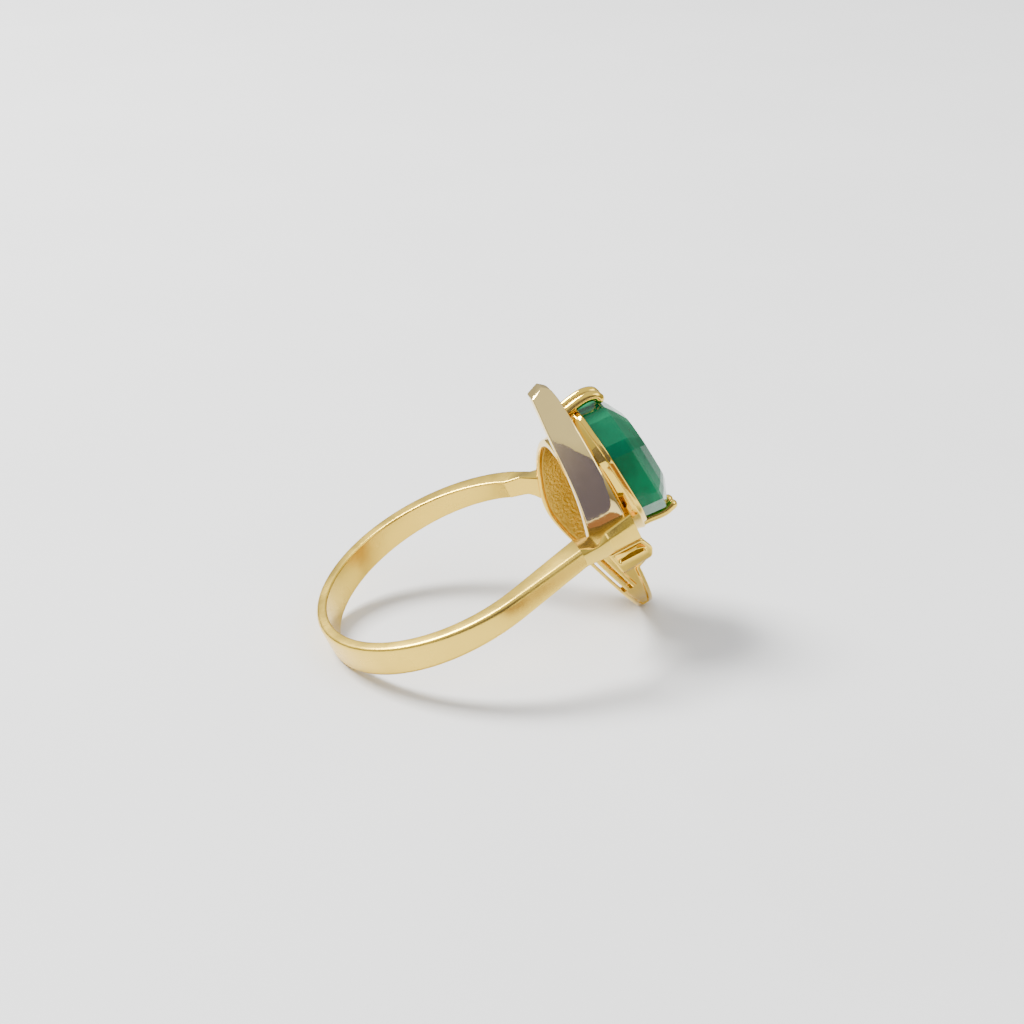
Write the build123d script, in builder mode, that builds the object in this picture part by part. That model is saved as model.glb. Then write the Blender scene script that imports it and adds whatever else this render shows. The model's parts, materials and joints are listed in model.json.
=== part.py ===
from build123d import *
from math import cos, radians, sin, sqrt
import os

# A cocktail ring lying at rest: the back edge of its hoop and the lower tip of its head touch the floor.
# Local directions: u runs from the finger hole to the stone, s across the hoop, f along the finger.
# Outlines given as (u, f) lie in the ring's side view, and those given as (u, s) in the hoop's own plane.

# ---- Driving dimensions, millimetres and degrees ----
rest_tilt = 23.89
centre_x = -3.744
centre_z = 4.798

finger_radius = 8.6
hoop_outer_radius = 9.8
hoop_outer_shift = 0.4
hoop_back_width = 2.4
hoop_round = 0.25
near_arm_inner_angle = 70
near_arm_outer_angle = 76
near_arm_end_u = 8.0
far_arm_angle = 40
arm_high_f = 0.88
arm_low_f = -0.43

head_f = -0.8
head_half_length = 9.4
head_half_width = 5.0
tip_trim = 0.22
cap_radius = 5.6
wall = 0.7
far_wall = 0.55
wing_front_u = 12.0
joint_f = -0.9

outer_rail_thickness = 0.2
inner_rail_thickness = 0.28
rail_slot = 0.21
rail_end_f = -6.3

step_proud = 0.4
step_pocket_depth = 0.28

strap_base_u = 10.2
strap_base_s = 5.95
strap_front_u = 12.3
strap_front_s = 5.45
clasp_u = 8.8
clasp_s = 4.7

plate_u = 10.9
plate_thickness = 0.4

seat_u = 12.9
setting_f = 1.2
setting_tilt = 5.3
stone_lean = 0.18
stone_length = 9.1
stone_width = 6.7
stone_corner_length = 2.2
stone_corner_width = 1.9
girdle_z = 1.9
table_z = 2.9
culet_z = -1.6
table_scale = 0.62
culet_scale = 0.35
collet_depth = 1.9
collet_wall = 0.5
collet_margin = 0.3
rim_height = 0.35
rim_wall = 0.25

prong_radius = 0.36
prong_bend = 0.55
prong_gap = 0.85

# ---- Frames ----
tilt = radians(rest_tilt)
loop_plane = Plane(
    origin=(centre_x, 0, centre_z),
    x_dir=(cos(tilt), 0, sin(tilt)),
    z_dir=(-sin(tilt), 0, cos(tilt)),
)


def place(u, s, f):
    """World point of the local distances u, s and f from the hoop's centre."""
    return loop_plane.from_local_coords(Vector(u, s, f))


def plan(u):
    """Plane across the head at height u: its x is s, its y is f measured from the head's middle."""
    return Plane(origin=place(u, 0, head_f), x_dir=loop_plane.y_dir, z_dir=loop_plane.x_dir)


side_plane = Plane(origin=place(0, 0, 0), x_dir=loop_plane.x_dir, z_dir=-loop_plane.y_dir)

lean = radians(setting_tilt)
setting_normal = loop_plane.x_dir * cos(lean) + loop_plane.z_dir * sin(lean)
setting_plane = Plane(origin=place(seat_u, 0, setting_f), x_dir=loop_plane.y_dir, z_dir=setting_normal)


def level(z):
    """Plane parallel to the seat at height z, which drifts towards the lower tip as the stone leans."""
    middle = setting_plane.from_local_coords(Vector(0, -stone_lean * max(z, 0), z))
    return Plane(origin=middle, x_dir=setting_plane.x_dir, z_dir=setting_plane.z_dir)


os.makedirs("parts", exist_ok=True)
pieces = {}
deep = 8.0
low_u = 7.0


def finish(piece, name):
    """Label one finished piece, write its file and keep it for the fits that follow."""
    piece.part.label = name
    export_step(piece.part, f"parts/{name}.step")
    pieces[name] = piece.part


# ---- Outlines of the head, seen along u: x is s, y is f from the head's middle ----
arc_radius = (head_half_length**2 + head_half_width**2) / (2 * head_half_width)
arc_centre = arc_radius - head_half_width
cap_centre = head_half_width - cap_radius


def near_s(f, inset=0.0):
    """s of the near wall's face at f, moved inwards by inset."""
    return arc_centre - sqrt((arc_radius - inset) ** 2 - f**2)


def strip(outer, inner, f_low, f_high):
    """Near wall outline between two insets of its arc, made inside a sketch."""
    mid = (f_low + f_high) / 2
    with BuildLine() as outline:
        ThreePointArc(*[(near_s(f, outer), f) for f in (f_low, mid, f_high)])
        Line((near_s(f_high, outer), f_high), (near_s(f_high, inner), f_high))
        ThreePointArc(*[(near_s(f, inner), f) for f in (f_high, mid, f_low)])
        Line((near_s(f_low, inner), f_low), (near_s(f_low, outer), f_low))
    make_face(outline.edges())


def leaf(inset, mode=Mode.ADD):
    """Leaf outline of the hollow body at an inset: near arc, far arc and rounded upper cap."""
    near_r, cap_r = arc_radius - inset, cap_radius - inset
    join_s = (cap_r**2 - near_r**2 + arc_centre**2 - cap_centre**2) / (2 * (arc_centre - cap_centre))
    join = (join_s, sqrt(near_r**2 - (join_s - arc_centre) ** 2))
    tip = (0, -sqrt(near_r**2 - arc_centre**2))
    far = (head_half_width - inset, 0)
    half_tip = tip[1] / 2
    crown = radians(60)
    with BuildLine() as outline:
        ThreePointArc(tip, (near_s(0, inset), 0), join)
        ThreePointArc(join, (cap_centre + cap_r * cos(crown), cap_r * sin(crown)), far)
        ThreePointArc(far, (-near_s(half_tip, inset), half_tip), tip)
    make_face(outline.edges(), mode=mode)


def side_cut(points):
    """Keep only what lies inside an outline of (u, f) points in the side view."""
    with BuildSketch(side_plane) as outline:
        Polygon(*points, align=None)
    extrude(outline.sketch, amount=2 * hoop_outer_radius, both=True, mode=Mode.INTERSECT)


def stone_outline(scale=1.0, grow=0.0):
    """Eight-sided stone outline in the setting's plane, made inside a sketch."""
    half_s = stone_width / 2 * scale + grow
    half_f = stone_length / 2 * scale + grow
    cut_s = half_s - stone_corner_width * scale - grow * 0.4
    cut_f = half_f - stone_corner_length * scale - grow * 0.4
    quarter = [(half_s, cut_f), (cut_s, half_f)]
    upper = quarter + [(-x, y) for x, y in reversed(quarter)]
    Polygon(*upper, *[(-x, -y) for x, y in upper], align=None)


# ---- Stone, held a little askew above the leaf-shaped body ----
with BuildPart() as gemstone:
    for low, high in ((culet_z, 0), (0, girdle_z), (girdle_z, table_z)):
        for z in (low, high):
            with BuildSketch(level(z)):
                stone_outline({culet_z: culet_scale, table_z: table_scale}.get(z, 1.0))
        loft(ruled=True)
finish(gemstone, "gemstone")

# ---- Collet and seat rim ----
collet_grow = collet_margin + rim_wall
with BuildPart() as collet:
    for z, grow in ((-collet_depth, 0.0), (0, collet_grow)):
        with BuildSketch(setting_plane.offset(z)):
            stone_outline(1.0, grow)
    loft(ruled=True)
    collet_solid = collet.part
    for z, grow in ((-collet_depth, -collet_wall), (0, collet_grow - collet_wall)):
        with BuildSketch(setting_plane.offset(z)):
            stone_outline(1.0, grow)
    loft(ruled=True, mode=Mode.SUBTRACT)
    add(gemstone.part, mode=Mode.SUBTRACT)
finish(collet, "collet")

with BuildPart() as seat_rim:
    with BuildSketch(setting_plane):
        stone_outline(1.0, rim_wall)
        stone_outline(1.0, 0.0)
    extrude(amount=rim_height)
    add(gemstone.part, mode=Mode.SUBTRACT)
finish(seat_rim, "seat_rim")

# ---- Shank: a round hoop whose near arm runs out straight along its tangents ----
reach = 2 * hoop_outer_radius


def tangent_run(radius, shift, angle):
    """Start and end, as (u, s), of the near arm's line that leaves a circle at an angle from u."""
    turn = radians(angle)
    start = (shift + radius * cos(turn), -radius * sin(turn))
    return start, (near_arm_end_u, start[1] + (near_arm_end_u - start[0]) * cos(turn) / sin(turn))


near_inner_start, near_inner_end = tangent_run(finger_radius, 0, near_arm_inner_angle)
near_outer_start, near_outer_end = tangent_run(hoop_outer_radius, hoop_outer_shift, near_arm_outer_angle)
far_turn = radians(far_arm_angle)
far_inner_end = (finger_radius * cos(far_turn), finger_radius * sin(far_turn))
far_radius = hoop_outer_shift * cos(far_turn) + hoop_outer_radius
far_outer_end = (far_radius * cos(far_turn), far_radius * sin(far_turn))

with BuildPart() as shank:
    with BuildSketch(loop_plane):
        with Locations((hoop_outer_shift, 0)):
            Circle(hoop_outer_radius)
        Polygon((0, 0), near_outer_start, near_outer_end, (near_arm_end_u, 0), align=None)
        Circle(finger_radius, mode=Mode.SUBTRACT)
        Polygon((0, 0), near_inner_start, near_inner_end, (near_arm_end_u, 0), align=None, mode=Mode.SUBTRACT)
        mouth = [(0, 0), near_inner_end, (near_arm_end_u, -reach), (reach, -reach)]
        Polygon(*mouth, (reach * cos(far_turn), reach * sin(far_turn)), align=None, mode=Mode.SUBTRACT)
    extrude(amount=hoop_back_width, both=True)
    side_cut([
        (-hoop_outer_radius, -hoop_back_width / 2),
        (near_arm_end_u, arm_low_f),
        (near_arm_end_u, arm_high_f),
        (-hoop_outer_radius, hoop_back_width / 2),
    ])
    back_face = shank.faces().filter_by(GeomType.CYLINDER).sort_by(SortBy.AREA)[-1]
    fillet(back_face.edges().sort_by(SortBy.LENGTH)[-2:], radius=hoop_round)
finish(shank, "shank")

# ---- Near wall: polished upper wing with a slanting end ----
upper_tip = [(10.38, 8.3), (11.35, 8.5), (11.9, 7.9)]
with BuildPart() as upper_wing:
    with BuildSketch(plan(low_u)):
        strip(0, wall, joint_f - head_f, upper_tip[1][1] - head_f)
    extrude(amount=deep)
    with BuildSketch(side_plane):
        with BuildLine():
            Spline((9.05, joint_f), (9.65, 2.2), (10.0, 6.0), upper_tip[0])
            Polyline(*upper_tip, (wing_front_u, 6.5), (wing_front_u, joint_f), (9.05, joint_f))
        make_face()
    extrude(amount=deep, both=True, mode=Mode.INTERSECT)
    add(collet_solid, mode=Mode.SUBTRACT)
finish(upper_wing, "upper_wing")

# ---- Near wall: lower wing with two thin rails behind it ----
lower_tip_f = head_f - head_half_length + tip_trim
inner_rail_start = outer_rail_thickness + rail_slot
rail_stack = inner_rail_start + inner_rail_thickness + rail_slot


def back_u(f, shift=0.0):
    """u of the lower wing's back edge at f, which runs out to the tip."""
    return 8.05 + shift + 0.29 * (joint_f - f)


with BuildPart() as lower_wing:
    with BuildSketch(plan(low_u)):
        strip(0, wall, lower_tip_f - head_f, joint_f - head_f)
    extrude(amount=deep)
    side_cut([
        (back_u(joint_f, rail_stack), joint_f),
        (back_u(rail_end_f, rail_stack), rail_end_f),
        (back_u(rail_end_f), rail_end_f),
        (back_u(lower_tip_f), lower_tip_f),
        (11.8, lower_tip_f),
        (11.5, -4.7),
        (12.3, -4.1),
        (12.3, joint_f),
    ])
finish(lower_wing, "lower_wing")

rails = (("outer_rail", 0, outer_rail_thickness), ("inner_rail", inner_rail_start, inner_rail_thickness))
for name, start, thickness in rails:
    with BuildPart() as rail:
        with BuildSketch(plan(low_u)):
            strip(0, wall, rail_end_f - head_f, joint_f - head_f)
        extrude(amount=deep)
        side_cut([
            (back_u(joint_f, start), joint_f),
            (back_u(rail_end_f, start), rail_end_f),
            (back_u(rail_end_f, start + thickness), rail_end_f),
            (back_u(joint_f, start + thickness), joint_f),
        ])
    finish(rail, name)

# ---- Framed step that stands proud of the lower wing ----
with BuildPart() as step_block:
    with BuildSketch(plan(low_u)):
        strip(-step_proud, 0, -4.0, -1.0)
    extrude(amount=deep)
    side_cut([(9.75, -2.1), (12.3, -2.25), (12.75, -3.35), (12.5, -4.1), (10.2, -4.2)])
    pocket_s = near_s(-2.4) - step_proud - 1
    with BuildSketch(Plane(origin=place(0, pocket_s, 0), x_dir=loop_plane.x_dir, z_dir=-loop_plane.y_dir)):
        Polygon((10.0, -2.35), (12.1, -2.5), (12.35, -3.25), (10.1, -3.15), align=None)
    extrude(amount=-(1 + step_pocket_depth), mode=Mode.SUBTRACT)
finish(step_block, "step_block")

# ---- Far wall and the polished rim at the back of the hollow ----
far_back = [(10.1, 5.4), (9.75, 3.6), (8.8, 0.4), (8.3, -2.2), (8.75, -4.6), (9.8, -6.9), (11.1, -10.3)]
rim_thickness = 0.4


def far_side(shift, front_u):
    """Side outline of the far wall from its curved back edge, moved by shift, to front_u."""
    edge = [(u + shift, f) for u, f in far_back]
    with BuildLine() as outline:
        Spline(*edge)
        if front_u is None:
            back = [(u + rim_thickness, f) for u, f in reversed(edge)]
            Line(edge[-1], back[0])
            Spline(*back)
            Line(back[-1], edge[0])
        else:
            Polyline(edge[-1], (front_u, edge[-1][1]), (front_u, edge[0][1]), edge[0])
    make_face(outline.edges())


for name, shift, front_u in (("far_wing", rim_thickness, 11.8), ("back_rim", 0, None)):
    with BuildPart() as shell:
        with BuildSketch(plan(low_u)):
            leaf(0)
            leaf(far_wall, mode=Mode.SUBTRACT)
        extrude(amount=deep)
        with BuildSketch(side_plane):
            far_side(shift, front_u)
        extrude(amount=deep, both=True, mode=Mode.INTERSECT)
        add(collet_solid, mode=Mode.SUBTRACT)
        with BuildSketch(plan(low_u)):
            strip(-0.2, wall, -head_half_length, head_half_length)
        extrude(amount=deep, mode=Mode.SUBTRACT)
        add(shell.solids().sort_by(SortBy.VOLUME)[-1], mode=Mode.REPLACE)
    finish(shell, name)

# ---- Shoulders: straps that carry the arms up the outer faces of the walls ----
near_under = [(8.0, -0.43), (9.4, -1.4), (10.2, -1.8), (13.0, -2.3)]
near_outline = near_under + [(13.0, -0.2), (9.2, -0.25), (8.0, 0.88)]
far_under = [(6.0, -0.53), (7.9, -0.9), (8.8, -2.0), (13.0, -2.4)]
far_outline = far_under + [(13.0, 0.2), (8.6, 0.3), (6.0, 0.92)]
shoulders = (
    ("near_shoulder", -1, (near_inner_end, near_outer_end), near_outline),
    ("far_shoulder", 1, (far_inner_end, far_outer_end), far_outline),
)

for name, side, arm_end, outline in shoulders:
    with BuildPart() as shoulder:
        with BuildSketch(loop_plane):
            Polygon(
                *arm_end,
                (strap_base_u, side * strap_base_s),
                (strap_front_u, side * strap_front_s),
                (strap_front_u, side * clasp_s),
                (clasp_u, side * clasp_s),
                align=None,
            )
        extrude(amount=deep, both=True)
        side_cut(outline)
        with BuildSketch(plan(9.3)):
            leaf(0)
        extrude(amount=deep, mode=Mode.SUBTRACT)
        for other in ("upper_wing", "lower_wing", "outer_rail", "inner_rail", "far_wing", "back_rim"):
            add(pieces[other], mode=Mode.SUBTRACT)
    finish(shoulder, name)

# ---- Plate that closes the body round the collet ----
with BuildPart() as gallery_plate:
    with BuildSketch(plan(plate_u)):
        leaf(far_wall)
    extrude(amount=plate_thickness)
    add(collet_solid, mode=Mode.SUBTRACT)
    for other in ("upper_wing", "lower_wing", "far_wing"):
        add(pieces[other], mode=Mode.SUBTRACT)
    add(gallery_plate.solids().sort_by(SortBy.VOLUME)[-1], mode=Mode.REPLACE)
finish(gallery_plate, "gallery_plate")

# ---- Four claw prongs, a pair at each end of the stone: points are distance from its middle and height ----
upper_claw = [(5.1, -0.9), (5.25, 1.45), (4.65, 2.0)]
lower_claw = [(5.0, -0.9), (5.5, 1.8), (5.4, 2.5)]
for end, end_name, claw in ((1, "upper", upper_claw), (-1, "lower", lower_claw)):
    for side, side_name in ((-1, "near"), (1, "far")):
        claw_plane = Plane(
            origin=setting_plane.from_local_coords(Vector(side * prong_gap / 2, 0, 0)),
            x_dir=setting_plane.y_dir * end,
            z_dir=setting_plane.x_dir * end,
        )
        with BuildPart() as prong:
            with BuildLine(claw_plane):
                spine = FilletPolyline(*claw, radius=prong_bend)
            with BuildSketch(Plane(origin=spine @ 0, z_dir=spine % 0)):
                Circle(prong_radius)
            sweep()
            with Locations(spine @ 1):
                Sphere(prong_radius)
            for other in (gemstone.part, collet_solid, pieces["seat_rim"]):
                add(other, mode=Mode.SUBTRACT)
        finish(prong, f"{end_name}_{side_name}_prong")
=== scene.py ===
import json
from math import radians

import bpy
import numpy as np
from bpy.props import FloatProperty, FloatVectorProperty, PointerProperty
from mathutils import Euler, Matrix, Vector


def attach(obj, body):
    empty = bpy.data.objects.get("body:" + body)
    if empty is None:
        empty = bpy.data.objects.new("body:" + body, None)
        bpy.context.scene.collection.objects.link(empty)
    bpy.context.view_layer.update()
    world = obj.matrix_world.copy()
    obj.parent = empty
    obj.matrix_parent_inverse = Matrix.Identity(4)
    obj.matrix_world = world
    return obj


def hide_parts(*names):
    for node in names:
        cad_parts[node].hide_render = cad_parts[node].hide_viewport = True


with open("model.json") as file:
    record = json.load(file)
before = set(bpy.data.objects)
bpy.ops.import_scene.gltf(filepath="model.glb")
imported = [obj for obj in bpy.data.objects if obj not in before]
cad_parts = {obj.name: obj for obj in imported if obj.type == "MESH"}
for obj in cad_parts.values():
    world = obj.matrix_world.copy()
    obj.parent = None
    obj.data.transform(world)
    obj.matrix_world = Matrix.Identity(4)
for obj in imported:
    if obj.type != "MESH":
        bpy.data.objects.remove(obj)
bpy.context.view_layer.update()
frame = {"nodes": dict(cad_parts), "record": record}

bl_info = {
    "name": "Cocktail ring builder",
    "version": (1, 0, 0),
    "blender": (4, 5, 0),
    "location": "View3D > Sidebar > Ring",
    "description": "Builds the gold body, the claws, the stone and the table of a cocktail ring",
    "category": "Add Mesh",
}

# ---- The ring's own directions: u towards the stone, s across the hoop, f along the finger ----
finger_hole = frame["record"]["mounts"][0]
hoop_centre = np.array(finger_hole["pos_m"])
F_AXIS = np.array(finger_hole["axis"])
S_AXIS = np.array([0.0, 1.0, 0.0])
U_AXIS = np.cross(S_AXIS, F_AXIS)
MM = 0.001


def placed(points):
    """World places of (u, s, f) points in millimetres: hoop centre + u U + s S + f F."""
    points = np.asarray(points, float)
    u, s, f = points[..., :1], points[..., 1:2], points[..., 2:3]
    return hoop_centre + MM * (u * U_AXIS + s * S_AXIS + f * F_AXIS)


def triples(u, s, f):
    """Joins three arrays of one shape into points."""
    return np.stack(np.broadcast_arrays(u, s, f), axis=-1).astype(float)


def smooth(points, count):
    """Catmull-Rom curve through points: each span blends its two tangents by Hermite's cubic."""
    points = np.asarray(points, float)
    padded = np.vstack([2 * points[0] - points[1], points, 2 * points[-1] - points[-2]])
    t = np.linspace(0, len(points) - 1, count)
    span = np.minimum(t.astype(int), len(points) - 2)
    x = (t - span)[:, None]
    start, end = padded[span + 1], padded[span + 2]
    leave, arrive = (end - padded[span]) / 2, (padded[span + 3] - start) / 2
    even = (2 * x**3 - 3 * x**2 + 1) * start + (3 * x**2 - 2 * x**3) * end
    return even + (x**3 - 2 * x**2 + x) * leave + (x**3 - x**2) * arrive


def along(points, f):
    """u of a back edge at each f, read from its smooth curve."""
    curve = smooth(points, 200)
    order = np.argsort(curve[:, 1])
    return np.interp(f, curve[order, 1], curve[order, 0])


def rounded(corners, radii, steps=5):
    """Sections with each corner replaced by a quadratic Bezier arc: (1-t)^2 A + 2t(1-t) C + t^2 B."""
    before, after = np.roll(corners, 1, axis=1), np.roll(corners, -1, axis=1)
    into, out = before - corners, after - corners
    into_length = np.linalg.norm(into, axis=-1, keepdims=True) + 1e-9
    out_length = np.linalg.norm(out, axis=-1, keepdims=True) + 1e-9
    radii = np.asarray(radii, float)[None, :, None]
    start = corners + into * np.minimum(radii / into_length, 0.48)
    end = corners + out * np.minimum(radii / out_length, 0.48)
    t = np.linspace(0, 1, steps)[None, None, :, None]
    arc = (1 - t) ** 2 * start[:, :, None] + 2 * t * (1 - t) * corners[:, :, None] + t**2 * end[:, :, None]
    return arc.reshape(len(corners), -1, corners.shape[-1])


def skin(name, sections, node, materials, closed=False, sharp=50.0, second=None, flat=False):
    """Mesh whose rows are sections carried along a path: faces join each section to the next one.

    Closed paths join their last section to the first, and open ones end in a fan round their middle.
    Faces where second(section points) is true take the second material.
    """
    rows, columns = sections.shape[:2]
    index = np.arange(rows * columns).reshape(rows, columns)
    this = index if closed else index[:-1]
    following = np.roll(index, -1, axis=0) if closed else index[1:]
    quads = np.stack([this, np.roll(this, -1, axis=1), np.roll(following, -1, axis=1), following], axis=-1)
    faces = quads.reshape(-1, 4).tolist()
    points = sections.reshape(-1, 3)
    if not closed:
        points = np.vstack([points, sections[0].mean(axis=0), sections[-1].mean(axis=0)])
        first, last = rows * columns, rows * columns + 1
        low, high = index[0], index[-1]
        faces += np.stack([np.full(columns, first), np.roll(low, -1), low], axis=-1).tolist()
        faces += np.stack([np.full(columns, last), high, np.roll(high, -1)], axis=-1).tolist()
    mesh = bpy.data.meshes.new(name)
    mesh.from_pydata(placed(points).tolist(), [], faces)
    turn_outwards(mesh)
    for material in materials:
        mesh.materials.append(bpy.data.materials[material + "_finish"])
    if second is not None:
        centres = points[quads.reshape(-1, 4)].mean(axis=1)
        chosen = np.zeros(len(faces), np.int32)
        chosen[: len(centres)] = second(centres)
        mesh.polygons.foreach_set("material_index", chosen)
    mesh.polygons.foreach_set("use_smooth", np.full(len(faces), not flat))
    mesh.set_sharp_from_angle(angle=radians(sharp))
    mesh.update()
    piece = bpy.data.objects.new(name, mesh)
    bpy.context.scene.collection.objects.link(piece)
    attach(piece, "root")
    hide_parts(node)


def turn_outwards(mesh):
    """Flips the faces if the enclosed volume, a sixth of the sum of a . (b x c), comes out negative."""
    mesh.calc_loop_triangles()
    corners = np.zeros(len(mesh.loop_triangles) * 3, np.int32)
    mesh.loop_triangles.foreach_get("vertices", corners)
    places = np.zeros(len(mesh.vertices) * 3)
    mesh.vertices.foreach_get("co", places)
    a, b, c = places.reshape(-1, 3)[corners.reshape(-1, 3)].transpose(1, 0, 2)
    if np.einsum("ij,ij->i", a, np.cross(b, c)).sum() < 0:
        mesh.flip_normals()


# ---- Outlines shared by the pieces of the head, in millimetres ----
HEAD_F = -0.8
HALF_LENGTH = 9.4
HALF_WIDTH = 5.0
ARC_RADIUS = (HALF_LENGTH**2 + HALF_WIDTH**2) / (2 * HALF_WIDTH)
ARC_CENTRE = ARC_RADIUS - HALF_WIDTH
CAP_RADIUS = 5.6
CAP_CENTRE = HALF_WIDTH - CAP_RADIUS
WALL = 0.7
FAR_WALL = 0.55
JOINT_F = -0.9
RAIL_END_F = -6.3
TIP_TRIM = 0.22
TIP_F = HEAD_F - HALF_LENGTH + TIP_TRIM
OUTER_RAIL, INNER_RAIL, RAIL_SLOT = 0.2, 0.28, 0.21
INNER_RAIL_START = OUTER_RAIL + RAIL_SLOT
RAIL_STACK = INNER_RAIL_START + INNER_RAIL + RAIL_SLOT
RAIL_BACK_U, RAIL_SLOPE = 8.05, 0.29
FAR_FRONT_U = 11.8
FAR_BACK = [(10.1, 5.4), (9.75, 3.6), (8.8, 0.4), (8.3, -2.2), (8.75, -4.6), (9.8, -6.9), (11.1, -10.3)]


def near_s(f, inset=0.0):
    """s of the near wall's face at f: a circle's arc, moved inwards by inset."""
    return ARC_CENTRE - np.sqrt((ARC_RADIUS - inset) ** 2 - (f - HEAD_F) ** 2)


def rail_u(f, shift=0.0):
    """u of the lower wing's straight back edge at f."""
    return RAIL_BACK_U + shift + RAIL_SLOPE * (JOINT_F - f)


def wall_sections(back_u, back_f, front_u, front_f):
    """Four corners of the near wall at each station: back and front edges on its outer and inner arcs."""
    corners = [
        triples(back_u, near_s(back_f), back_f),
        triples(front_u, near_s(front_f), front_f),
        triples(front_u, near_s(front_f, WALL), front_f),
        triples(back_u, near_s(back_f, WALL), back_f),
    ]
    return np.stack(corners, axis=1)


# ---- The stone's seat, tilted against the head ----
SEAT_U = 12.9
SETTING_F = 1.2
LEAN = radians(5.3)
STONE_LEAN = 0.18
STONE_WIDTH, STONE_LENGTH = 6.7, 9.1
CORNER_WIDTH, CORNER_LENGTH = 1.9, 2.2
GIRDLE_Z, CROWN_Z, TABLE_Z, CULET_Z = 1.9, 2.42, 2.9, -1.6
CORNER_GROWTH = 0.4


def seated(x, y, z):
    """Ring point of x across the stone, y along it and z above its seat, turned by the seat's lean."""
    u = SEAT_U + z * np.cos(LEAN) - y * np.sin(LEAN)
    f = SETTING_F + z * np.sin(LEAN) + y * np.cos(LEAN)
    return triples(u, x, f)


def stone_corners(scale=1.0, grow=0.0):
    """Eight corners of the stone's outline, scaled and grown; its cuts grow by a share of the growth."""
    half_x, half_y = STONE_WIDTH / 2 * scale + grow, STONE_LENGTH / 2 * scale + grow
    cut_x = half_x - CORNER_WIDTH * scale - grow * CORNER_GROWTH
    cut_y = half_y - CORNER_LENGTH * scale - grow * CORNER_GROWTH
    quarter = np.array([[half_x, cut_y], [cut_x, half_y]])
    upper = np.vstack([quarter, quarter[::-1] * [-1, 1]])
    return np.vstack([upper, -upper])


def outline(grow):
    """The stone's outline, grown by a margin, with its eight corners rounded."""
    return rounded(stone_corners(grow=grow)[None], np.full(8, 0.9), steps=7)[0]


def ring_sections(levels):
    """Sections round the stone: at each outline point one corner for every (grow, z) level."""
    columns = []
    for grow, z in levels:
        line = outline(grow)
        columns.append(seated(line[:, 0], line[:, 1], np.full(len(line), z)))
    return np.stack(columns, axis=1)


# ---- Materials ----
def shade(tone, factor):
    """A tone made darker by a factor."""
    return tuple(channel * factor for channel in tone)


def node_material(name):
    """Node tree parts of a new material, and the piece's own coordinates to drive its patterns.

    The frame already has materials with the slots' names, so the name gets an ending.
    """
    material = bpy.data.materials.new(name + "_finish")
    material.use_nodes = True
    nodes, links = material.node_tree.nodes, material.node_tree.links
    shader = nodes["Principled BSDF"]
    place = nodes.new("ShaderNodeTexCoord")
    return nodes, links, shader, place.outputs["Object"]


def noise(nodes, links, place, scale, detail=4.0, stretch=None):
    """Noise over the piece, with its scale per metre and an optional stretch along the axes."""
    source = place
    if stretch is not None:
        mapping = nodes.new("ShaderNodeMapping")
        mapping.inputs["Scale"].default_value = stretch
        links.new(place, mapping.inputs["Vector"])
        source = mapping.outputs["Vector"]
    texture = nodes.new("ShaderNodeTexNoise")
    texture.inputs["Scale"].default_value = scale
    texture.inputs["Detail"].default_value = detail
    links.new(source, texture.inputs["Vector"])
    return texture.outputs["Fac"]


def ramp(nodes, links, value, low, high):
    """Colour between two tones, driven by a value about its middle."""
    node = nodes.new("ShaderNodeValToRGB")
    node.color_ramp.elements[0].position = 0.32
    node.color_ramp.elements[1].position = 0.68
    node.color_ramp.elements[0].color = (*low, 1)
    node.color_ramp.elements[1].color = (*high, 1)
    links.new(value, node.inputs["Fac"])
    return node.outputs["Color"]


def span(nodes, links, value, low, high):
    """Value between low and high as a noise goes from 0.3 to 0.7."""
    node = nodes.new("ShaderNodeMapRange")
    node.inputs["From Min"].default_value = 0.3
    node.inputs["From Max"].default_value = 0.7
    node.inputs["To Min"].default_value = low
    node.inputs["To Max"].default_value = high
    links.new(value, node.inputs["Value"])
    return node.outputs["Result"]


def bump(nodes, links, shader, height, strength, distance):
    """Surface relief from a height."""
    node = nodes.new("ShaderNodeBump")
    node.inputs["Strength"].default_value = strength
    node.inputs["Distance"].default_value = distance
    links.new(height, node.inputs["Height"])
    links.new(node.outputs["Normal"], shader.inputs["Normal"])


def gold_material(name, tone, darkest, rough, grain, strength, depth, stretch=None):
    """Yellow gold: a tone that wanders to a darker one, a roughness that wanders, and a fine relief.

    The relief's grain is per metre and its depth in metres; stretch draws it out into wear lines.
    """
    nodes, links, shader, place = node_material(name)
    shader.inputs["Metallic"].default_value = 1.0
    patches = noise(nodes, links, place, scale=420.0, detail=3.0)
    links.new(ramp(nodes, links, patches, shade(tone, darkest), tuple(tone)), shader.inputs["Base Color"])
    links.new(span(nodes, links, patches, *rough), shader.inputs["Roughness"])
    fine = noise(nodes, links, place, grain, detail=6.0, stretch=stretch)
    bump(nodes, links, shader, fine, strength, depth)


def stone_material(name, tone, darkest):
    """Green beryl: clouds of its tone and a darker one, a polished skin and a little light through."""
    nodes, links, shader, place = node_material(name)
    clouds = noise(nodes, links, place, scale=330.0, detail=5.0, stretch=(1.0, 1.0, 0.6))
    links.new(ramp(nodes, links, clouds, shade(tone, darkest), tuple(tone)), shader.inputs["Base Color"])
    shader.inputs["Roughness"].default_value = 0.07
    shader.inputs["IOR"].default_value = 1.5
    shader.inputs["Specular IOR Level"].default_value = 0.25
    shader.inputs["Transmission Weight"].default_value = 0.12
    shader.inputs["Coat Weight"].default_value = 0.05
    shader.inputs["Coat Roughness"].default_value = 0.03
    scratches = noise(nodes, links, place, scale=2600.0, detail=4.0)
    bump(nodes, links, shader, scratches, strength=0.12, distance=0.00002)


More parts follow.
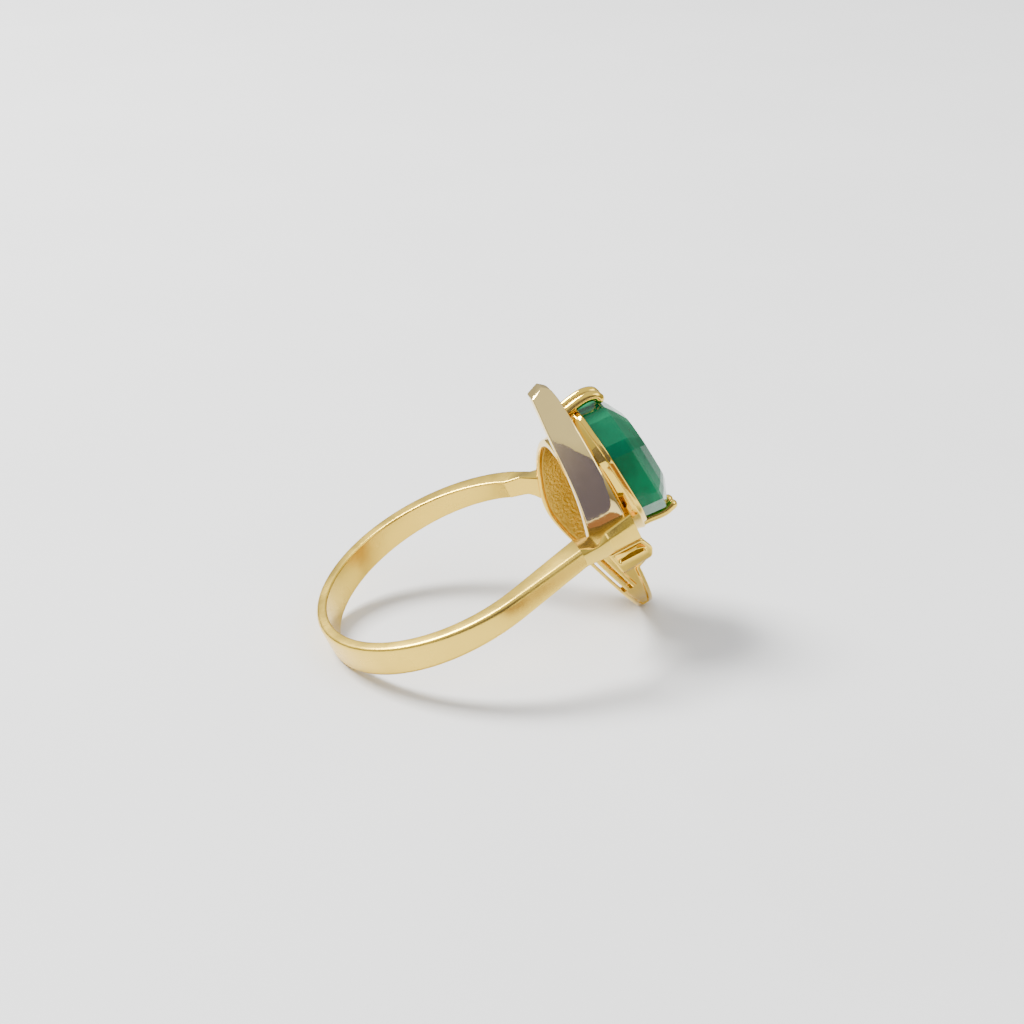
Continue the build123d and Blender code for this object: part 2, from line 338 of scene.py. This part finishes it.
def plain_material(name, color, roughness):
    """Table and card surfaces, with a faint mottling."""
    nodes, links, shader, place = node_material(name)
    soft = noise(nodes, links, place, scale=40.0, detail=3.0)
    links.new(ramp(nodes, links, soft, shade(color, 0.97), color), shader.inputs["Base Color"])
    shader.inputs["Roughness"].default_value = roughness


# ---- Settings a user would change ----
class RingSettings(bpy.types.PropertyGroup):
    """Sizes and colours of the ring's metal and stone."""

    polished_tone: FloatVectorProperty(
        name="Polished gold", description="Bright tone of the mirror-polished gold",
        subtype="COLOR", size=3, min=0, max=1, default=(0.91, 0.62, 0.085))
    mirror_tone: FloatVectorProperty(
        name="Mirror gold", description="Paler tone of the mirror finish on the upper wing",
        subtype="COLOR", size=3, min=0, max=1, default=(0.91, 0.69, 0.25))
    satin_tone: FloatVectorProperty(
        name="Satin gold", description="Bright tone of the softly polished gold",
        subtype="COLOR", size=3, min=0, max=1, default=(0.87, 0.60, 0.085))
    grained_tone: FloatVectorProperty(
        name="Grained gold", description="Bright tone of the matt gold inside the head",
        subtype="COLOR", size=3, min=0, max=1, default=(0.68, 0.44, 0.055))
    stone_tone: FloatVectorProperty(
        name="Stone", description="Bright tone of the green stone",
        subtype="COLOR", size=3, min=0, max=1, default=(0.0, 0.22, 0.09))
    edge_softness: FloatProperty(
        name="Edge softness", description="Radius of the polished edges of the wings, in millimetres",
        default=0.16, min=0.02, max=0.3)
    claw_radius: FloatProperty(
        name="Claw radius", description="Radius of each claw, in millimetres",
        default=0.36, min=0.1, max=0.6)


class StageSettings(bpy.types.PropertyGroup):
    """Camera and light."""

    azimuth: FloatProperty(
        name="Azimuth", description="Turn of the camera's aim from +Y towards +X",
        subtype="ANGLE", default=radians(15.78))
    elevation: FloatProperty(
        name="Elevation", description="Height of the camera above the table, as an angle",
        subtype="ANGLE", default=radians(24.12))
    roll: FloatProperty(name="Roll", description="Turn of the camera about its aim", subtype="ANGLE",
                        default=radians(-1.23))
    distance: FloatProperty(
        name="Distance", description="From the camera to its aim", unit="LENGTH", default=0.1396)
    focal_length: FloatProperty(
        name="Lens", description="Focal length in millimetres", default=72.2, min=10)
    light_level: FloatProperty(name="Light", description="Brightness of the room", default=1.05, min=0)


class BuildMaterials(bpy.types.Operator):
    """Make the gold, stone, table and card materials"""

    bl_idname = "ring.build_materials"
    bl_label = "Materials"

    def execute(self, context):
        ring = context.scene.ring_settings
        gold_material("polished_gold", ring.polished_tone, darkest=0.93, rough=(0.05, 0.10),
                      grain=900.0, strength=0.05, depth=0.00004)
        gold_material("mirror_gold", ring.mirror_tone, darkest=0.95, rough=(0.03, 0.08),
                      grain=1500.0, strength=0.08, depth=0.00006)
        gold_material("satin_gold", ring.satin_tone, darkest=0.92, rough=(0.20, 0.30),
                      grain=5000.0, strength=0.25, depth=0.00002, stretch=(1.0, 1.0, 0.25))
        gold_material("grained_gold", ring.grained_tone, darkest=0.7, rough=(0.34, 0.5),
                      grain=5200.0, strength=0.9, depth=0.00011)
        stone_material("green_stone", ring.stone_tone, darkest=0.45)
        plain_material("table_white", (0.80, 0.80, 0.785), roughness=0.55)
        plain_material("card_plum", (0.048, 0.048, 0.16), roughness=0.6)
        plain_material("card_brown", (0.17, 0.075, 0.04), roughness=0.6)
        return {"FINISHED"}


HOOP_ROUNDING = [0.14, 0.16, 0.34, 0.3]  # inner low, inner high, outer high and outer low edges, in mm


class BuildShank(bpy.types.Operator):
    """Carry the hoop's soft-edged section from the end of the near arm round to the far arm"""

    bl_idname = "ring.build_shank"
    bl_label = "Shank"

    def execute(self, context):
        inner_r, outer_r, shift, end_u = 8.6, 9.8, 0.4, 8.0
        back_half, arm_high, arm_low = 1.2, 0.88, -0.43
        inner_turn, outer_turn, far_turn = radians(70), radians(76), radians(40)
        inner_start = np.array([inner_r * np.cos(inner_turn), -inner_r * np.sin(inner_turn)])
        outer_start = np.array([shift + outer_r * np.cos(outer_turn), -outer_r * np.sin(outer_turn)])
        inner_end = np.array([end_u, inner_start[1] + (end_u - inner_start[0]) / np.tan(inner_turn)])
        outer_end = np.array([end_u, outer_start[1] + (end_u - outer_start[0]) / np.tan(outer_turn)])
        t = np.linspace(0, 1, 24)[:-1, None]  # the last one is the bow's first
        arm_inner = inner_end + (inner_start - inner_end) * t
        arm_outer = outer_end + (outer_start - outer_end) * t
        inner_angle = np.linspace(-inner_turn, far_turn - 2 * np.pi, 150)
        ray = np.linspace(np.arctan2(outer_start[1], outer_start[0]), far_turn - 2 * np.pi, 150)
        radius = shift * np.cos(ray) + np.sqrt(outer_r**2 - (shift * np.sin(ray)) ** 2)
        bow_inner = inner_r * np.stack([np.cos(inner_angle), np.sin(inner_angle)], axis=1)
        bow_outer = radius[:, None] * np.stack([np.cos(ray), np.sin(ray)], axis=1)
        inner = np.vstack([arm_inner, bow_inner])
        outer = np.vstack([arm_outer, bow_outer])

        def high(u):
            """f of the upper edge, straight from the back to the arm's end."""
            return back_half + (arm_high - back_half) * (u + outer_r) / (end_u + outer_r)

        def low(u):
            """f of the lower edge, straight from the back to the arm's end."""
            return -back_half + (back_half + arm_low) * (u + outer_r) / (end_u + outer_r)

        corners = [
            triples(inner[:, 0], inner[:, 1], low(inner[:, 0])),
            triples(inner[:, 0], inner[:, 1], high(inner[:, 0])),
            triples(outer[:, 0], outer[:, 1], high(outer[:, 0])),
            triples(outer[:, 0], outer[:, 1], low(outer[:, 0])),
        ]
        sections = rounded(np.stack(corners, axis=1), HOOP_ROUNDING, steps=7)
        skin("hoop", sections, "shank", ["satin_gold"], sharp=60)
        return {"FINISHED"}


class BuildWings(bpy.types.Operator):
    """Carry the near wall's softly ridged section from the joint to both tips, with its rails"""

    bl_idname = "ring.build_wings"
    bl_label = "Near wall"

    def execute(self, context):
        soft = context.scene.ring_settings.edge_softness
        back = smooth([(9.05, JOINT_F), (9.65, 2.2), (10.0, 6.0), (10.38, 8.3)], 90)
        front = smooth([(12.0, JOINT_F), (12.0, 2.2), (12.0, 6.0), (11.95, 7.6)], 80)
        corner = smooth([(11.95, 7.6), (11.8, 8.2), (11.35, 8.5)], 11)[1:]
        front = np.vstack([front, corner])
        corners = wall_sections(back[:, 0], back[:, 1], front[:, 0], front[:, 1])
        # a soft ridge runs down the outer face, and the face falls back from it to the front edge
        share = np.interp(back[:, 1], [JOINT_F, 2.0, 5.0, 8.3], [0.92, 0.8, 0.5, 0.25])[:, None]
        ridge = corners[:, 0] + (corners[:, 1] - corners[:, 0]) * share
        fall = 0.48
        corners[:, 1, 1] += fall * (1 - share[:, 0])
        corners = np.insert(corners, 1, ridge, axis=1)
        sections = rounded(corners, [soft, 0.45, soft, soft, soft], steps=7)

        def inside(points):
            """Faces on the wall's inner side."""
            return points[:, 1] > near_s(points[:, 2], WALL * 0.9)

        skin("polished_wing", sections, "upper_wing", ["mirror_gold", "grained_gold"],
             second=inside)
        self.lower_wing(inside)
        strips = (("outer_rail", 0, OUTER_RAIL), ("inner_rail", INNER_RAIL_START, INNER_RAIL))
        for name, start, thickness in strips:
            f = np.linspace(JOINT_F, RAIL_END_F, 40)
            strip = wall_sections(rail_u(f, start), f, rail_u(f, start + thickness), f)
            skin(name + "_strip", rounded(strip, [0.05] * 4, steps=4), name, ["satin_gold"])
        return {"FINISHED"}

    @staticmethod
    def lower_wing(inside):
        """The lower wing, whose outer face sinks into a shallow panel beyond the step."""
        along_rails, along_tip = np.linspace(JOINT_F, RAIL_END_F, 60), np.linspace(RAIL_END_F, TIP_F, 50)
        f = np.concatenate([along_rails, along_tip])
        beyond = np.arange(len(f)) >= len(along_rails)
        back = rail_u(f, np.where(beyond, 0.0, RAIL_STACK))
        front = np.interp(f, [TIP_F, -4.7, -4.3, JOINT_F], [11.75, 11.5, 12.3, 12.3])
        depth = 0.24 * np.clip((-4.4 - f) / 0.3, 0, 1) * np.clip((f - TIP_F) / 1.0, 0, 1) ** 0.5
        rim, slope = 0.26, 0.1
        corners = [
            triples(back, near_s(f), f),
            triples(back + rim, near_s(f), f),
            triples(back + rim + slope, near_s(f, depth), f),
            triples(front - rim - slope, near_s(f, depth), f),
            triples(front - rim, near_s(f), f),
            triples(front, near_s(f), f),
            triples(front, near_s(f, WALL), f),
            triples(back, near_s(f, WALL), f),
        ]
        radii = [0.1, 0.05, 0.05, 0.05, 0.05, 0.1, 0.1, 0.1]
        sections = rounded(np.stack(corners, axis=1), radii, steps=4)
        skin("lower_wing_plate", sections, "lower_wing", ["polished_gold", "grained_gold"],
             second=inside)


class BuildFarWall(bpy.types.Operator):
    """Carry the far wall and its polished back lip from the lower tip over the rounded cap"""

    bl_idname = "ring.build_far_wall"
    bl_label = "Far wall"

    def execute(self, context):
        half_tip = -HALF_LENGTH / 2
        quarter = np.array([-near_s(HEAD_F + half_tip), half_tip])
        points = np.array([[0, -HALF_LENGTH], quarter, [HALF_WIDTH, 0]])
        lower = self.arc_through(points, 70)
        squares = CAP_RADIUS**2 - ARC_RADIUS**2 + ARC_CENTRE**2 - CAP_CENTRE**2
        join_s = squares / (2 * (ARC_CENTRE - CAP_CENTRE))
        end_s = join_s + FAR_WALL
        turn = np.linspace(0, np.arccos((end_s - CAP_CENTRE) / CAP_RADIUS), 70)[1:]
        cap = np.stack([CAP_CENTRE + CAP_RADIUS * np.cos(turn), CAP_RADIUS * np.sin(turn)], axis=1)
        clear_of_tip = 5
        path = np.vstack([lower, cap])[clear_of_tip:]
        tangent = np.gradient(path, axis=0)
        tangent /= np.linalg.norm(tangent, axis=1, keepdims=True)
        inwards = np.stack([-tangent[:, 1], tangent[:, 0]], axis=1)

        def wall(gap, front_u, thickness):
            """Sections from gap beyond the back edge to front_u(back edge), thickened inwards."""
            inner = path + inwards * thickness
            back_outer, back_inner = (along(FAR_BACK, p[:, 1] + HEAD_F) for p in (path, inner))
            corners = [
                triples(back_outer + gap, path[:, 0], path[:, 1] + HEAD_F),
                triples(front_u(back_outer), path[:, 0], path[:, 1] + HEAD_F),
                triples(front_u(back_inner), inner[:, 0], inner[:, 1] + HEAD_F),
                triples(back_inner + gap, inner[:, 0], inner[:, 1] + HEAD_F),
            ]
            return np.stack(corners, axis=1)

        def inside(points):
            """Faces on the wall's inner side: nearly the whole thickness away from the outer path."""
            gaps = np.linalg.norm(points[:, None, 1:] - (path + [0, HEAD_F])[None], axis=2).min(axis=1)
            return gaps > FAR_WALL * 0.85

        rim = 0.34
        shell = wall(rim, lambda back: np.full(len(back), FAR_FRONT_U), FAR_WALL)
        sections = rounded(shell, [0.1] * 4, steps=4)
        skin("far_shell", sections, "far_wing", ["satin_gold", "grained_gold"],
             second=inside)
        overlap, inner_step = 0.02, 0.06
        lip = wall(0, lambda back: back + rim + overlap, FAR_WALL - inner_step)
        lip = rounded(lip, [0.14] * 4, steps=5)
        skin("back_lip", lip, "back_rim", ["polished_gold"])
        return {"FINISHED"}

    @staticmethod
    def arc_through(points, count):
        """Circle's arc through three points, from the centre that is equally far from all of them."""
        a, b, c = points
        system = 2 * np.array([b - a, c - b])
        centre = np.linalg.solve(system, [b @ b - a @ a, c @ c - b @ b])
        angles = np.unwrap(np.arctan2(*(points - centre).T[::-1]))
        turn = np.linspace(angles[0], angles[2], count)
        return centre + np.linalg.norm(a - centre) * np.stack([np.cos(turn), np.sin(turn)], axis=1)


class BuildShoulders(bpy.types.Operator):
    """Carry each strap's ridged section from its arm up the wall of the head"""

    bl_idname = "ring.build_shoulders"
    bl_label = "Shoulders"

    def execute(self, context):
        u = np.linspace(8.0, 12.3, 50)
        inner = np.interp(u, [8.0, 9.2, 12.3], [-6.24, -4.9, -4.72])
        outer = np.interp(u, [8.0, 10.2, 12.3], [-8.17, -5.95, -5.45])
        low = np.interp(u, [8.0, 9.4, 10.2, 12.3], [-0.43, -1.4, -1.8, -2.18])
        high = np.interp(u, [8.0, 9.2, 12.3], [0.88, -0.25, -0.2])
        ridge = np.interp(u, [8.0, 10.2, 12.3], [0.56, -0.72, -0.9])
        crest = np.interp(u, [8.0, 9.4, 12.3], [0.19, 0.17, 0.1])
        corners = [
            triples(u, inner, low),
            triples(u, inner, high),
            triples(u, outer + crest * 1.6, high),
            triples(u, outer, ridge),
            triples(u, outer + crest * 0.2, low),
        ]
        sections = rounded(np.stack(corners, axis=1), [0.12, 0.15, 0.12, 0.14, 0.16], steps=5)
        skin("near_strap", sections, "near_shoulder", ["satin_gold"], sharp=60)

        t = np.linspace(0, 1, 70)
        bends = [0, 0.4, 1]
        inner_u, inner_s = np.interp(t, bends, [6.57, 8.8, 12.3]), np.interp(t, bends, [5.52, 4.72, 4.7])
        outer_u, outer_s = np.interp(t, bends, [7.72, 9.6, 12.3]), np.interp(t, bends, [6.48, 6.02, 5.45])

        def low_edge(u):
            """f of the strap's lower edge."""
            return np.interp(u, [6.57, 7.72, 8.1, 8.8, 12.3], [-0.49, -0.62, -0.98, -2.0, -2.33])

        def high_edge(u):
            """f of the strap's upper edge."""
            return np.interp(u, [6.57, 7.72, 8.8, 12.3], [0.905, 0.885, 0.3, 0.2])

        corners = [
            triples(inner_u, inner_s, low_edge(inner_u)),
            triples(inner_u, inner_s, high_edge(inner_u)),
            triples(outer_u, outer_s, high_edge(outer_u)),
            triples(outer_u, outer_s, low_edge(outer_u)),
        ]
        sections = rounded(np.stack(corners, axis=1), HOOP_ROUNDING, steps=7)
        skin("far_strap", sections, "far_shoulder", ["satin_gold"], sharp=60)
        return {"FINISHED"}


class BuildStep(bpy.types.Operator):
    """Stack loops that rise off the lower wing, turn in to a frame and sink into its pocket"""

    bl_idname = "ring.build_step"
    bl_label = "Framed step"

    def execute(self, context):
        edge = np.array([(9.75, -2.1), (12.3, -2.25), (12.75, -3.35), (12.5, -4.1), (10.2, -4.2)])
        pocket = np.array([(10.05, -2.42), (12.1, -2.5), (12.38, -3.1), (12.2, -3.3), (10.2, -3.2)])
        sunk = pocket + 0.12 * (pocket.mean(axis=0) - pocket)
        foot, proud, pocket_floor = -0.05, 0.4, 0.12
        loops = []
        for plan, height in ((edge, foot), (edge, proud), (pocket, proud), (sunk, pocket_floor)):
            line = rounded(plan[None], [0.2] * 5, steps=6)[0]
            loops.append(triples(line[:, 0], near_s(line[:, 1], -height), line[:, 1]))
        sides, lip, brink, floor = loops
        rows = [sides, sides + (lip - sides) * 0.85, lip + (brink - lip) * 0.18, lip + (brink - lip) * 0.8,
                brink + (floor - brink) * 0.15, floor]
        skin("framed_step", np.stack(rows), "step_block", ["polished_gold"], sharp=75)
        return {"FINISHED"}


class BuildSetting(bpy.types.Operator):
    """Carry the collet's and the seat rim's sections round the stone, and the claws along their spines"""

    bl_idname = "ring.build_setting"
    bl_label = "Setting"

    def execute(self, context):
        sleeve = ring_sections([(-0.5, -1.9), (0.0, -1.9), (0.55, 0.0), (0.05, 0.0)])
        sleeve = rounded(sleeve, [0.05, 0.1, 0.12, 0.05], steps=4)
        skin("stone_sleeve", sleeve, "collet", ["polished_gold"], closed=True)
        lip = ring_sections([(0.02, 0.0), (0.25, 0.0), (0.25, 0.35), (0.02, 0.35)])
        lip = rounded(lip, [0.03, 0.05, 0.1, 0.08], steps=5)
        skin("seat_lip", lip, "seat_rim", ["polished_gold"], closed=True)
        radius = context.scene.ring_settings.claw_radius
        half_gap = 0.425
        claws = {"upper": (1, [(5.1, -0.9), (5.25, 0.4), (5.22, 1.3), (4.98, 1.85), (4.65, 2.0)]),
                 "lower": (-1, [(5.0, -0.9), (5.22, 0.5), (5.48, 1.7), (5.4, 2.5)])}
        for end_name, (end, spine) in claws.items():
            for side, side_name in ((-1, "near"), (1, "far")):
                self.claw(f"{end_name}_{side_name}", end, side * half_gap, smooth(spine, 40), radius)
        return {"FINISHED"}

    @staticmethod
    def claw(name, end, x, spine, radius):
        """Round bar along its spine that ends in half a ball: the radius falls as sqrt(1 - t^2)."""
        tangent = np.gradient(spine, axis=0)
        tangent /= np.linalg.norm(tangent, axis=1, keepdims=True)
        t = np.linspace(0, 1, 9)[1:]
        ball = spine[-1] + tangent[-1] * radius * t[:, None]
        line = np.vstack([spine, ball])
        tangent = np.vstack([tangent, np.repeat(tangent[-1:], len(ball), axis=0)])
        radii = radius * np.concatenate([np.ones(len(spine)), np.sqrt(np.maximum(1 - t**2, 0.002))])
        turn = np.linspace(0, 2 * np.pi, 24, endpoint=False)
        across = np.stack([-tangent[:, 1], tangent[:, 0]], axis=1)
        sideways = x + radii[:, None] * np.cos(turn)
        plan = line[:, None] + radii[:, None, None] * np.sin(turn)[None, :, None] * across[:, None]
        sections = seated(sideways, end * plan[..., 0], plan[..., 1])
        skin(name + "_claw", sections, name + "_prong", ["polished_gold"])


class BuildStone(bpy.types.Operator):
    """Stack the stone's faceted outlines from its foot to its table"""

    bl_idname = "ring.build_stone"
    bl_label = "Stone"

    def execute(self, context):
        levels = ((CULET_Z, 0.35), (-0.6, 0.80), (0.0, 0.985), (GIRDLE_Z - 0.12, 0.995),
                  (GIRDLE_Z + 0.06, 0.985), (CROWN_Z, 0.82), (TABLE_Z, 0.6))
        rows = []
        for z, scale in levels:
            line = rounded(stone_corners(scale)[None], np.full(8, 0.5 * scale), steps=2)[0]
            line = line - [0, STONE_LEAN * max(z, 0)]
            rows.append(seated(line[:, 0], line[:, 1], np.full(len(line), z)))
        skin("green_stone", np.stack(rows), "gemstone", ["green_stone"], flat=True, sharp=1)
        return {"FINISHED"}


class BuildPlate(bpy.types.Operator):
    """Give the plate round the collet its grained finish"""

    bl_idname = "ring.build_plate"
    bl_label = "Gallery plate"

    def execute(self, context):
        plate = frame["nodes"]["gallery_plate"]
        plate.data.materials.clear()
        plate.data.materials.append(bpy.data.materials["grained_gold_finish"])
        return {"FINISHED"}


def card(name, centre, size, turn, material):
    """A flat card of the given size, built in place: its corners are the centre plus turned halves."""
    half_x, half_y = size[0] / 2, size[1] / 2
    corners = [(-half_x, -half_y, 0), (half_x, -half_y, 0), (half_x, half_y, 0), (-half_x, half_y, 0)]
    turned = [Vector(centre) + turn @ Vector(corner) for corner in corners]
    mesh = bpy.data.meshes.new(name)
    mesh.from_pydata([tuple(point) for point in turned], [], [(0, 1, 2, 3)])
    mesh.materials.append(bpy.data.materials[material + "_finish"])
    piece = bpy.data.objects.new(name, mesh)
    bpy.context.scene.collection.objects.link(piece)
    return piece


class BuildStage(bpy.types.Operator):
    """Set the pale table, the camera, the soft lights and the dark cards that the polished metal mirrors"""

    bl_idname = "ring.build_stage"
    bl_label = "Stage"

    def execute(self, context):
        stage = context.scene.stage_settings
        card("table", (0, 0, 0), (3.0, 3.0), Matrix.Identity(3), "table_white")
        aim = Vector((0.00094, 0.0, 0.0085))
        turn = Euler((radians(90) - stage.elevation, 0, -stage.azimuth)).to_matrix()
        turn = turn @ Matrix.Rotation(stage.roll, 3, "Z")
        back = turn @ Vector((0, 0, 1))
        camera_data = bpy.data.cameras.new("camera")
        camera_data.lens = stage.focal_length
        camera_data.sensor_width = 36.0
        camera_data.clip_start = 0.005
        camera = bpy.data.objects.new("camera", camera_data)
        context.scene.collection.objects.link(camera)
        camera.matrix_world = Matrix.Translation(aim + back * stage.distance) @ turn.to_4x4()
        context.scene.camera = camera
        self.cards()
        self.lights(context, stage.light_level)
        return {"FINISHED"}

    @staticmethod
    def cards():
        """Cards that only reflections see: one stands in front of the ring, one lies below it."""
        upright = Matrix.Rotation(radians(90), 3, "X")
        upright = Matrix.Rotation(radians(24), 3, "Y") @ upright
        plum = card("plum_card", (-0.014, -0.050, 0.027), (0.076, 0.064), upright, "card_plum")
        flat = Matrix.Identity(3)
        brown = card("brown_card", (0.014, -0.034, 0.0004), (0.018, 0.022), flat, "card_brown")
        for piece in (plum, brown):
            piece.visible_camera = False
            piece.visible_diffuse = False
            piece.visible_shadow = False
            piece.visible_transmission = False

    @staticmethod
    def lights(context, level):
        """A room that is darker low down, a soft light above and behind to the left, and a weaker fill."""
        world = bpy.data.worlds.new("room")
        world.use_nodes = True
        nodes, links = world.node_tree.nodes, world.node_tree.links
        toward = nodes.new("ShaderNodeTexCoord").outputs["Generated"]
        parts = nodes.new("ShaderNodeSeparateXYZ")
        tones = nodes.new("ShaderNodeValToRGB")
        tones.color_ramp.elements[0].position = 0.05
        tones.color_ramp.elements[0].color = (0.30, 0.28, 0.26, 1)
        tones.color_ramp.elements[1].position = 0.75
        tones.color_ramp.elements[1].color = (1.0, 1.02, 1.08, 1)
        links.new(toward, parts.inputs["Vector"])
        links.new(parts.outputs["Z"], tones.inputs["Fac"])
        links.new(tones.outputs["Color"], nodes["Background"].inputs["Color"])
        nodes["Background"].inputs["Strength"].default_value = level
        context.scene.world = world
        for name, place, size, power in (
            ("window_light", (-0.24, 0.26, 0.42), 0.20, 8.5),
            ("fill_light", (0.35, -0.30, 0.40), 0.35, 1.2),
        ):
            data = bpy.data.lights.new(name, "AREA")
            data.size = size
            data.energy = power
            lamp = bpy.data.objects.new(name, data)
            context.scene.collection.objects.link(lamp)
            lamp.location = place
            lamp.rotation_euler = (-Vector(place)).to_track_quat("-Z", "Y").to_euler()


OPERATORS = (BuildMaterials, BuildShank, BuildWings, BuildFarWall, BuildShoulders, BuildStep, BuildSetting,
             BuildStone, BuildPlate, BuildStage)


class RingPanel(bpy.types.Panel):
    """Lists the ring's pieces and settings in the sidebar"""

    bl_idname = "VIEW3D_PT_ring_builder"
    bl_label = "Cocktail ring"
    bl_space_type = "VIEW_3D"
    bl_region_type = "UI"
    bl_category = "Ring"

    def draw(self, context):
        for settings in (context.scene.ring_settings, context.scene.stage_settings):
            for name in settings.__annotations__:
                self.layout.prop(settings, name)
        for operator in OPERATORS:
            self.layout.operator(operator.bl_idname)


CLASSES = (RingSettings, StageSettings, *OPERATORS, RingPanel)


def register():
    """Register the classes and hang the settings on the scene."""
    for item in CLASSES:
        bpy.utils.register_class(item)
    bpy.types.Scene.ring_settings = PointerProperty(type=RingSettings)
    bpy.types.Scene.stage_settings = PointerProperty(type=StageSettings)


def unregister():
    """Take the settings and the classes away again."""
    del bpy.types.Scene.ring_settings
    del bpy.types.Scene.stage_settings
    for item in reversed(CLASSES):
        bpy.utils.unregister_class(item)


def main():
    """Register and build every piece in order."""
    register()
    for operator in OPERATORS:
        group, name = operator.bl_idname.split(".")
        getattr(getattr(bpy.ops, group), name)()


if __name__ == "__main__":
    main()
